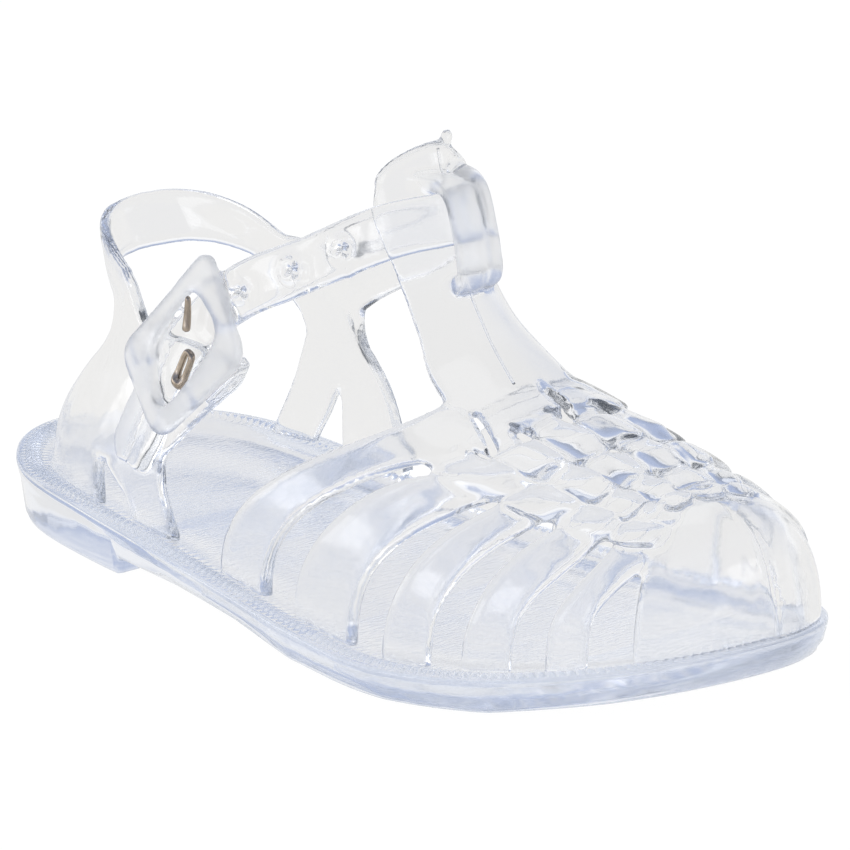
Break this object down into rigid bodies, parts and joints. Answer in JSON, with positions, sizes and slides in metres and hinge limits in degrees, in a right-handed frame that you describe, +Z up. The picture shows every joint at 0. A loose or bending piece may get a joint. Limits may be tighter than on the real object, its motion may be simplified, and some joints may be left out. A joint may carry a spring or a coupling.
{
  "type": "beach sandal",
  "caption": "Clear moulded jelly beach sandal for a small child: woven vamp, instep bar with keeper loop, forked quarters, heel band and a buckled ankle strap on a low heeled sole.",
  "frame": {"origin": "middle of the box on the ground, under the sole", "axes": "+X towards the toe, +Y towards the medial side, +Z up"},
  "size_m": [0.165, 0.0711, 0.0768],
  "materials": {
    "clear_sole": "clear, glossy, faint blue in thick places",
    "clear_upper": "clear, glossy, faint blue at the edges",
    "buckle": "small bright metal"
  },
  "bodies": {
    "root": {"sole": "clear_sole", "upper": "clear_upper", "buckle_frame": "buckle", "buckle_prong": "buckle"}
  },
  "joints": []
}
